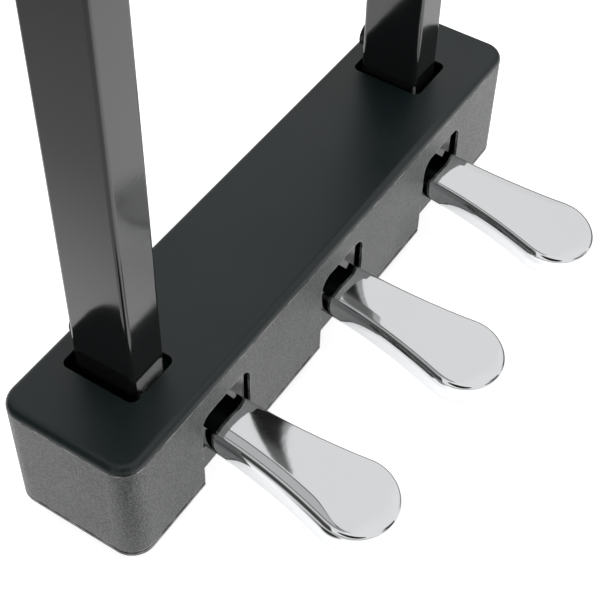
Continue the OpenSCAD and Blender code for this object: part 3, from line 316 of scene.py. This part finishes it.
def coat(name, colour, cloud_colour, edge_colour, roughness, grain_scale, bump_depth, metallic=0.0,
         cloud_scale=30.0, edge_amount=0.5, edge_reach=0.0006, specular=0.5, rough_span=0.08,
         grain_colour=None, grain_from=0.42, grain_to=0.6):
    material = bpy.data.materials.new(name)
    material.use_nodes = True
    tree = material.node_tree
    tree.nodes.clear()
    place = add_node(tree, "ShaderNodeTexCoord")
    surface = add_node(tree, "ShaderNodeGroup", node_tree=grain)
    surface.inputs["Grain scale"].default_value = grain_scale
    surface.inputs["Cloud scale"].default_value = cloud_scale
    edges = add_node(tree, "ShaderNodeGroup", node_tree=edge_wear_and_highlight)
    edges.inputs["Amount"].default_value = edge_amount
    edges.inputs["Reach"].default_value = edge_reach
    shader = add_node(tree, "ShaderNodeBsdfPrincipled")
    shader.inputs["Metallic"].default_value = metallic
    shader.inputs["Specular IOR Level"].default_value = specular
    rough_range = level_range(tree, cloud_thin, cloud_thick, roughness - rough_span / 2,
                              roughness + rough_span / 2)
    bump = add_node(tree, "ShaderNodeBump")
    bump.inputs["Distance"].default_value = bump_depth
    out = add_node(tree, "ShaderNodeOutputMaterial")
    tree.links.new(place.outputs["Object"], surface.inputs["Vector"])
    tree.links.new(place.outputs["Object"], edges.inputs["Vector"])
    shade = blend_colour(tree, surface.outputs["Clouds"], colour, cloud_colour)
    if grain_colour:
        grain_range = level_range(tree, grain_from, grain_to)
        tree.links.new(surface.outputs["Height"], grain_range.inputs["Value"])
        shade = blend_colour(tree, grain_range.outputs[0], shade, grain_colour)
    # Edges take edge_colour: rubbed wear together with a painted highlight.
    wear_and_highlight_colour = blend_colour(tree, edges.outputs["Mask"], shade, edge_colour)
    tree.links.new(wear_and_highlight_colour, shader.inputs["Base Color"])
    tree.links.new(surface.outputs["Clouds"], rough_range.inputs["Value"])
    tree.links.new(rough_range.outputs[0], shader.inputs["Roughness"])
    tree.links.new(surface.outputs["Height"], bump.inputs["Height"])
    tree.links.new(bump.outputs[0], shader.inputs["Normal"])
    tree.links.new(shader.outputs[0], out.inputs["Surface"])
    return material


def dress(material, *names):
    for name in names:
        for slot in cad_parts[name].material_slots:
            slot.material = material


def only(thing):
    bpy.ops.object.select_all(action="DESELECT")
    thing.select_set(True)
    bpy.context.view_layer.objects.active = thing


def apply_all(piece):
    only(piece)
    for modifier in list(piece.modifiers):
        bpy.ops.object.modifier_apply(modifier=modifier.name)


def copy_of(node, name):
    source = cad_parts[node]
    piece = bpy.data.objects.new(name, source.data.copy())
    bpy.context.scene.collection.objects.link(piece)
    piece.data.transform(source.matrix_world)
    only(piece)
    bpy.ops.object.mode_set(mode="EDIT")
    bpy.ops.mesh.select_all(action="SELECT")
    bpy.ops.mesh.remove_doubles(threshold=1e-6)
    bpy.ops.mesh.dissolve_limited(angle_limit=math.radians(1))
    bpy.ops.mesh.normals_make_consistent(inside=False)
    bpy.ops.object.mode_set(mode="OBJECT")
    return piece


def place_in(piece, body, node, material, smooth_angle=40):
    only(piece)
    bpy.ops.object.shade_smooth_by_angle(angle=math.radians(smooth_angle))
    piece.data.materials.clear()
    piece.data.materials.append(material)
    if body:
        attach(piece, body)
    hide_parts(node)


def rounded_copy(node, name, width, segments=3):
    piece = copy_of(node, name)
    soft = piece.modifiers.new("soft", "BEVEL")
    soft.width = width
    soft.segments = segments
    soft.limit_method = "ANGLE"
    soft.angle_limit = math.radians(30)
    apply_all(piece)
    return piece


# The pale edge colour at full amount paints a highlight line along the rims of the tray and the wall band.
textured_steel = coat("textured_steel", (0.002, 0.004, 0.004), (0.004, 0.006, 0.006), (0.5, 0.5, 0.49),
                      0.34, 1300.0, 0.00035, edge_amount=1.0, edge_reach=0.0016, specular=0.72,
                      grain_colour=(0.074, 0.078, 0.077), grain_from=0.47, grain_to=0.54)
dress(textured_steel, "base_tray", "wall_shell")


# Foam strip: closed-cell foam cut to narrow strips, pressed between the tray and the
# lips of the wall band. It keeps dust out and stops rattles.
foam = coat("foam", (0.012, 0.012, 0.012), (0.02, 0.02, 0.02), (0.02, 0.02, 0.02), 0.9, 1500.0, 0.0002)
foam_strip = rounded_copy("base_gasket", "foam_strip", 0.0003)
place_in(foam_strip, "housing", "base_gasket", foam)


# Top cover: moulded in black plastic with a satin skin, snapped and screwed into the
# wall band from behind.
cover_plastic = coat("cover_plastic", (0.0038, 0.0085, 0.0088), (0.0058, 0.0105, 0.011),
                     (0.014, 0.019, 0.019), 0.33, 2600.0, 0.00005)
dress(cover_plastic, "top_cover")


# Uprights: drawn rectangular tube in glossy black enamel, pushed over their spigots and
# held by a bolt behind. Their caps are moulded plastic.
gloss_paint = coat("gloss_paint", (0.006, 0.0062, 0.0066), (0.007, 0.0072, 0.0076), (0.02, 0.02, 0.02),
                   0.1, 400.0, 0.00001, rough_span=0.03, specular=1.0)
dress(gloss_paint, "left_upright", "right_upright")
black_plastic = coat("black_plastic", (0.02, 0.02, 0.021), (0.026, 0.026, 0.027), (0.05, 0.05, 0.05),
                     0.45, 2500.0, 0.00006)
dress(black_plastic, "left_end_cap", "right_end_cap", "photo_sensors", "rear_socket",
      "left_shutter", "middle_shutter", "right_shutter")


# Plated small parts: spigots, screws and clips in bright zinc, bolts in black oxide.
zinc_steel = coat("zinc_steel", (0.6, 0.61, 0.62), (0.5, 0.51, 0.53), (0.75, 0.75, 0.74),
                  0.32, 900.0, 0.00002, metallic=1.0, cloud_scale=200.0)
dress(zinc_steel, "left_spigot", "right_spigot", "spigot_screws", "bracket_screws", "pin_clips",
      "board_screws", "left_pedal_screws", "middle_pedal_screws", "right_pedal_screws")
black_screws = coat("black_screws", (0.03, 0.03, 0.032), (0.04, 0.04, 0.042), (0.2, 0.2, 0.2),
                    0.35, 1200.0, 0.00002, metallic=0.6, cloud_scale=200.0)
dress(black_screws, "upright_bolts", "socket_screws")
recess_arm, recess_width, recess_depth = 0.0016, 0.0008, 0.0011


def cross_recessed(node, name, along_y):
    piece = copy_of(node, name)
    islands = bmesh.new()
    islands.from_mesh(piece.data)
    islands.verts.ensure_lookup_table()
    left, heads = set(islands.verts), []
    while left:
        found, waiting = set(), [next(iter(sorted(left, key=lambda vert: vert.index)))]
        while waiting:
            vert = waiting.pop()
            if vert in found:
                continue
            found.add(vert)
            waiting.extend(edge.other_vert(vert) for edge in vert.link_edges)
        left -= found
        places = [vert.co for vert in found]
        middle = [(min(place[k] for place in places) + max(place[k] for place in places)) / 2
                  for k in range(3)]
        if along_y:
            heads.append((middle[0], max(place.y for place in places), middle[2]))
        else:
            heads.append((middle[0], middle[1], min(place.z for place in places)))
    islands.free()
    for head in heads:
        for wide, tall in ((recess_arm, recess_width), (recess_width, recess_arm)):
            bpy.ops.object.select_all(action="DESELECT")
            bpy.ops.mesh.primitive_cube_add(size=2, location=head)
            cutter = bpy.context.object
            if along_y:
                cutter.scale = (wide, recess_depth, tall)
            else:
                cutter.scale = (wide, tall, recess_depth)
            cut = piece.modifiers.new("cut", "BOOLEAN")
            cut.operation = "DIFFERENCE"
            cut.object = cutter
            apply_all(piece)
            bpy.data.objects.remove(cutter, do_unlink=True)
    return piece


for node, name, material, slot, along_y in (
        ("base_screws", "tray_screws", zinc_steel, "zinc_steel", False),
        ("foot_screws", "feet_screws", zinc_steel, "zinc_steel", False),
        ("cover_screws", "rear_cover_screws", black_screws, "black_screws", True)):
    screws = cross_recessed(node, name, along_y)
    place_in(screws, "housing", node, material, smooth_angle=30)


# Rubber feet: moulded in black rubber and held to the tray by a screw each. The down
# stops under the levers are the same rubber.
rubber = coat("rubber", (0.018, 0.018, 0.018), (0.026, 0.026, 0.026), (0.03, 0.03, 0.03),
              0.75, 1800.0, 0.0001)
feet = rounded_copy("rubber_feet", "moulded_feet", 0.0007)
place_in(feet, "housing", "rubber_feet", rubber)
for side in ("left", "middle", "right"):
    stop = rounded_copy(f"{side}_down_stop", f"{side}_moulded_down_stop", 0.0005)
    place_in(stop, "housing", f"{side}_down_stop", rubber)


# Brackets: pressed steel, one under each pedal, with a dull zinc coat. Their guide cheeks show inside the
# openings, and the coat is set near white as painted light, so that the shaded cheeks read as lit.
bracket_steel = coat("bracket_steel", (0.86, 0.86, 0.85), (0.76, 0.76, 0.75), (0.9, 0.9, 0.9),
                     0.45, 1600.0, 0.00005)
dress(bracket_steel, "left_bracket", "middle_bracket", "right_bracket")


# Levers and pins: ground steel bar, left bright under a film of oil. Each lever turns
# on its pin, which two clips keep in the bracket.
bare_steel = coat("bare_steel", (0.45, 0.46, 0.47), (0.36, 0.37, 0.38), (0.6, 0.6, 0.6),
                  0.35, 1500.0, 0.00003, metallic=1.0, cloud_scale=90.0)
dress(bare_steel, "left_lever", "middle_lever", "right_lever",
      "left_pivot_pin", "middle_pivot_pin", "right_pivot_pin")


# Bushes, spring seats and the board's connector: moulded in natural nylon. The bushes
# are pressed into the levers from both sides.
ivory_nylon = coat("ivory_nylon", (0.72, 0.69, 0.61), (0.66, 0.63, 0.55), (0.75, 0.73, 0.66),
                   0.42, 1200.0, 0.00003)
dress(ivory_nylon, "left_bushes", "middle_bushes", "right_bushes",
      "left_spring_seat", "middle_spring_seat", "right_spring_seat", "board_connector")


# Return springs: drawn spring wire, coiled with closed ends, pressed between the tray
# and the seat under each lever.
spring_steel = coat("spring_steel", (0.38, 0.39, 0.4), (0.3, 0.31, 0.32), (0.5, 0.5, 0.5),
                    0.3, 1500.0, 0.00002, metallic=1.0, cloud_scale=150.0)
spring_y, spring_low, spring_high = 0.0301, 0.01578, 0.03372
spring_radius, wire_radius, spring_turns, closed_turns = 0.004, 0.00055, 6.5, 0.9
points_per_turn = 40


def coil_height(turn):
    closed_rise = closed_turns * wire_radius * 2
    open_turns = spring_turns - 2 * closed_turns
    open_rise = spring_high - spring_low - 2 * closed_rise
    if turn < closed_turns:
        return closed_rise * turn / closed_turns
    if turn > spring_turns - closed_turns:
        return spring_high - spring_low - closed_rise * (spring_turns - turn) / closed_turns
    return closed_rise + open_rise * (turn - closed_turns) / open_turns


for side, middle_x in (("left", -0.089), ("middle", 0.0), ("right", 0.089)):
    wire = bpy.data.curves.new(f"{side}_coiled_spring", "CURVE")
    wire.dimensions = "3D"
    wire.bevel_depth = wire_radius
    wire.bevel_resolution = 4
    wire.use_fill_caps = True
    path = wire.splines.new("POLY")
    point_count = round(spring_turns * points_per_turn)
    path.points.add(point_count)
    for k, point in enumerate(path.points):
        turn = k / points_per_turn
        angle = math.tau * turn
        point.co = (middle_x + spring_radius * math.cos(angle), spring_y + spring_radius * math.sin(angle),
                    spring_low + coil_height(turn), 1)
    coil = bpy.data.objects.new(f"{side}_coiled_spring", wire)
    bpy.context.scene.collection.objects.link(coil)
    only(coil)
    bpy.ops.object.convert(target="MESH")
    coil = bpy.context.object
    place_in(coil, None, f"{side}_return_spring", spring_steel)
    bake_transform(coil)


# Up stops: pressed wool felt, cut to a block and punched, glued under the strap of each
# bracket. The faces are fuzzy.
felt = coat("felt", (0.09, 0.19, 0.12), (0.13, 0.25, 0.17), (0.12, 0.22, 0.15), 0.95, 900.0, 0.0006)
felt_nap = bpy.data.textures.new("felt_nap", "CLOUDS")
felt_nap.noise_scale = 0.0007
for side in ("left", "middle", "right"):
    block = rounded_copy(f"{side}_up_stop", f"{side}_felt_block", 0.0005)
    fine = block.modifiers.new("fine", "REMESH")
    fine.mode = "VOXEL"
    fine.voxel_size = 0.0003
    nap = block.modifiers.new("nap", "DISPLACE")
    nap.texture = felt_nap
    nap.strength = 0.0003
    nap.mid_level = 0.6
    apply_all(block)
    place_in(block, "housing", f"{side}_up_stop", felt, smooth_angle=80)


# Sensor board: green laminate, screwed to turned brass spacers, with a loom of red wires
# from its connector to the socket behind.
board_laminate = coat("board_laminate", (0.02, 0.11, 0.055), (0.03, 0.14, 0.07), (0.2, 0.2, 0.1),
                      0.3, 700.0, 0.00002)
dress(board_laminate, "sensor_board")
brass = coat("brass", (0.68, 0.5, 0.22), (0.6, 0.43, 0.18), (0.8, 0.65, 0.35),
             0.28, 900.0, 0.00001, metallic=1.0)
dress(brass, "board_spacers")
wire_cover = coat("wire_cover", (0.3, 0.03, 0.02), (0.36, 0.04, 0.03), (0.36, 0.04, 0.03),
                  0.4, 700.0, 0.00002)
dress(wire_cover, "wiring_loom")


# Pedals: cast, ground and polished, then chromed all over. A narrow stem flares to a
# round end; the top is crowned, with a shoulder along each side of the stem that runs
# out at the round end. The sides roll over in a long soft edge; the underside is hollow.
pedal_tilt = math.radians(7.9)
front_y, housing_foot = 0.0071, 0.012
pivot_back, pivot_up, top_above_pivot = 0.048, 0.031, 0.0075
pedal_reach, pedal_tail, flare_start = 0.08245, 0.012, 0.005
stem_half, tip_radius = 0.0128, 0.0204
edge_radius, side_depth, skin = 0.0036, 0.011, 0.0022
tail_y = (pedal_tail - pivot_back) / math.cos(pedal_tilt)
flare_y = (flare_start - pivot_back) / math.cos(pedal_tilt)
front_plane_y = -pivot_back / math.cos(pedal_tilt)
tip_y = (edge_radius - pedal_reach - pivot_back + (top_above_pivot - edge_radius) * math.sin(pedal_tilt)) \
    / math.cos(pedal_tilt) - edge_radius
tip_centre_y = tip_y + tip_radius
flare_radius = (stem_half ** 2 - tip_radius ** 2 + (flare_y - tip_centre_y) ** 2) \
    / (2 * (tip_radius - stem_half))
flare_turn = math.atan2(flare_y - tip_centre_y, stem_half + flare_radius)
bow_rise, bow_peak_share = 0.0015, 0.7
crown_slope, shoulder_slope, roll_slope = (math.tan(math.radians(tilt)) for tilt in (5.2, 8.0, 16.0))
shoulder_width, crease_width, roll_width = 0.003, 0.0006, 0.001
shoulder_full_y, shoulder_end_y = tip_centre_y + 0.014, tip_centre_y - 0.006
roll_out, roll_down = 0.0028, 0.008
roll_start = math.atan(roll_slope * roll_out / roll_down)
rim_inset = roll_out * (1 - math.sin(roll_start))
stem_rows, flare_rows, tip_rows = 8, 40, 56
flat_columns, crease_columns, shoulder_columns, roll_columns = 14, 4, 3, 5
roll_steps = 18
rim_radius, pad_radius = 0.0003, 0.0004
pad_size, pad_ahead, pad_level = (0.014, 0.066, 0.0039), 0.033, -0.00305


def outline_rows(inset):
    rows = [(stem_half - inset, tail_y + (flare_y - tail_y) * k / stem_rows) for k in range(stem_rows)]
    for k in range(flare_rows):
        turn = flare_turn * k / flare_rows
        rows.append((stem_half + flare_radius - (flare_radius + inset) * math.cos(turn),
                     flare_y - (flare_radius + inset) * math.sin(turn)))
    for k in range(tip_rows + 1):
        turn = flare_turn - (math.pi / 2 + flare_turn) * k / tip_rows
        rows.append(((tip_radius - inset) * math.cos(turn),
                     tip_centre_y + (tip_radius - inset) * math.sin(turn)))
    return rows


def eased(share):
    share = min(max(share, 0), 1)
    return share * share * (3 - 2 * share)


def across_places(half, along):
    fade = eased((along - shoulder_end_y) / (shoulder_full_y - shoulder_end_y))
    roll = min(roll_width, half * 0.3)
    crease = min(crease_width, half * 0.1) * (0.05 + 0.95 * fade)
    shoulder = min(shoulder_width * fade, half * 0.3)
    ends = [half - roll - shoulder - crease, half - roll - shoulder, half - roll, half]
    side = [ends[0] + crease * k / crease_columns for k in range(1, crease_columns + 1)]
    side += [ends[1] + shoulder * k / shoulder_columns for k in range(1, shoulder_columns + 1)]
    side += [ends[2] + roll * k / roll_columns for k in range(1, roll_columns + 1)]
    flat = [ends[0] * (2 * k / flat_columns - 1) for k in range(flat_columns + 1)]
    return [-x for x in reversed(side)] + flat + side, ends, min(fade / 0.3, 1)


def turned(past, length, first_slope, last_slope):
    share = min(max(past / max(length, 1e-9), 0), 1)
    return first_slope * min(max(past, 0), length) + (last_slope - first_slope) * length * share * share / 2


def fall(x, ends, strength):
    x = abs(x)
    middle_slope = crown_slope + (shoulder_slope - crown_slope) * strength
    drop = min(x, ends[0]) ** 2 / (2 * max(ends[0], 1e-9)) * crown_slope
    drop += turned(x - ends[0], ends[1] - ends[0], crown_slope, middle_slope)
    drop += min(max(x - ends[1], 0), ends[2] - ends[1]) * middle_slope
    return drop + turned(x - ends[2], ends[3] - ends[2], middle_slope, roll_slope)


def outward(point):
    side = 1 if point.x >= 0 else -1
    from_tip = Vector((point.x, point.y - tip_centre_y, 0))
    if point.y <= tip_centre_y + abs(point.x) * math.tan(flare_turn) + 1e-7:
        return from_tip.normalized()
    if point.y <= flare_y:
        flare_centre = Vector((side * (stem_half + flare_radius), flare_y, 0))
        return (flare_centre - Vector((point.x, point.y, 0))).normalized()
    return Vector((side, 0, 0))


def bowed(y):
    peak = front_plane_y + (tip_y - front_plane_y) * bow_peak_share
    reach = peak - tip_y if y < peak else front_plane_y - peak
    return bow_rise * (1 - ((y - peak) / reach) ** 2)


def draw_rim_out(mesh, offset, drop, level=None):
    bm = bmesh.from_edit_mesh(mesh)
    for edge in bm.edges:
        low = min(vert.co.y for vert in edge.verts)
        high = max(vert.co.y for vert in edge.verts)
        edge.select = edge.is_boundary and not (low > tail_y - 1e-6 and high - low < 1e-7)
    bmesh.update_edit_mesh(mesh)
    bpy.ops.mesh.extrude_edges_move()
    bm = bmesh.from_edit_mesh(mesh)
    for vert in bm.verts:
        if vert.select:
            vert.co += outward(vert.co) * offset + Vector((0, 0, -drop))
            if level is not None:
                vert.co.z = bowed(vert.co.y) + level
    bmesh.update_edit_mesh(mesh)


chrome_smoothest, chrome_roughest, chrome_ripple = 0.03, 0.07, 0.00002
chrome = bpy.data.materials.new("pedal_chrome")
chrome.use_nodes = True
chrome.node_tree.nodes.clear()
chrome_place = add_node(chrome.node_tree, "ShaderNodeTexCoord")
chrome_grain = add_node(chrome.node_tree, "ShaderNodeGroup", node_tree=grain)
chrome_grain.inputs["Grain scale"].default_value = 60.0
chrome_grain.inputs["Cloud scale"].default_value = 22.0
chrome_rough = level_range(chrome.node_tree, 0.35, 0.7, chrome_smoothest, chrome_roughest)
chrome_shader = add_node(chrome.node_tree, "ShaderNodeBsdfPrincipled")
chrome_shader.inputs["Metallic"].default_value = 1.0
chrome_bump = add_node(chrome.node_tree, "ShaderNodeBump")
chrome_bump.inputs["Distance"].default_value = chrome_ripple
chrome_out = add_node(chrome.node_tree, "ShaderNodeOutputMaterial")
chrome.node_tree.links.new(chrome_place.outputs["Object"], chrome_grain.inputs["Vector"])
chrome.node_tree.links.new(chrome_grain.outputs["Clouds"], chrome_rough.inputs["Value"])
chrome.node_tree.links.new(chrome_rough.outputs[0], chrome_shader.inputs["Roughness"])
chrome.node_tree.links.new(chrome_grain.outputs["Height"], chrome_bump.inputs["Height"])
chrome.node_tree.links.new(chrome_bump.outputs[0], chrome_shader.inputs["Normal"])
chrome.node_tree.links.new(
    blend_colour(chrome.node_tree, chrome_grain.outputs["Clouds"], (0.8, 0.81, 0.82), (0.84, 0.85, 0.86)),
    chrome_shader.inputs["Base Color"])
chrome.node_tree.links.new(chrome_shader.outputs[0], chrome_out.inputs["Surface"])

for side, middle_x in (("left", -0.089), ("middle", 0.0), ("right", 0.089)):
    rows = outline_rows(rim_inset)
    columns = flat_columns + 2 * (crease_columns + shoulder_columns + roll_columns)
    bpy.ops.object.select_all(action="DESELECT")
    bpy.ops.mesh.primitive_grid_add(x_subdivisions=columns, y_subdivisions=len(rows) - 1, size=2)
    pedal = bpy.context.object
    pedal.name = f"{side}_pedal_polished"
    for vert in pedal.data.vertices:
        half, along = rows[round((1 - vert.co.y) / 2 * (len(rows) - 1))]
        places, ends, strength = across_places(half, along)
        x = places[round((1 + vert.co.x) / 2 * columns)]
        vert.co = (x, along, bowed(along) - fall(x, ends, strength))
    bpy.ops.object.mode_set(mode="EDIT")
    bpy.ops.mesh.select_mode(type="EDGE")
    bpy.ops.mesh.select_all(action="SELECT")
    bpy.ops.mesh.remove_doubles(threshold=1e-6)
    for step in range(roll_steps):
        a = roll_start + (math.pi / 2 - roll_start) * step / roll_steps
        b = roll_start + (math.pi / 2 - roll_start) * (step + 1) / roll_steps
        draw_rim_out(pedal.data, roll_out * (math.sin(b) - math.sin(a)),
                     roll_down * (math.cos(a) - math.cos(b)))
    draw_rim_out(pedal.data, 0, 0, level=-side_depth)
    bpy.ops.mesh.select_all(action="SELECT")
    bpy.ops.mesh.normals_make_consistent(inside=False)
    bpy.ops.object.mode_set(mode="OBJECT")
    if pedal.data.polygons[0].normal.z < 0:
        pedal.data.flip_normals()
    wall = pedal.modifiers.new("wall", "SOLIDIFY")
    wall.thickness = skin
    wall.offset = -1
    wall.use_even_offset = True
    rim = pedal.modifiers.new("rim", "BEVEL")
    rim.width = rim_radius
    rim.segments = 2
    rim.limit_method = "ANGLE"
    rim.angle_limit = math.radians(50)
    only(pedal)
    bpy.ops.object.modifier_apply(modifier="wall")
    bpy.ops.object.modifier_apply(modifier="rim")
    bpy.ops.mesh.primitive_cube_add(size=1, location=(0, tail_y - pad_ahead, pad_level))
    pad = bpy.context.object
    pad.scale = pad_size
    bpy.ops.object.transform_apply(location=True, rotation=False, scale=True)
    bpy.ops.object.mode_set(mode="EDIT")
    bpy.ops.mesh.select_all(action="SELECT")
    bpy.ops.mesh.bevel(offset=pad_radius, segments=2, affect="EDGES")
    bpy.ops.object.mode_set(mode="OBJECT")
    pad.select_set(True)
    pedal.select_set(True)
    bpy.context.view_layer.objects.active = pedal
    bpy.ops.object.join()
    pedal.data.transform(Matrix.Translation((middle_x, front_y + pivot_back, housing_foot + pivot_up))
                         @ Matrix.Rotation(pedal_tilt, 4, "X") @ Matrix.Translation((0, 0, top_above_pivot)))
    place_in(pedal, f"{side}_pedal_lever", f"{side}_pedal", chrome)
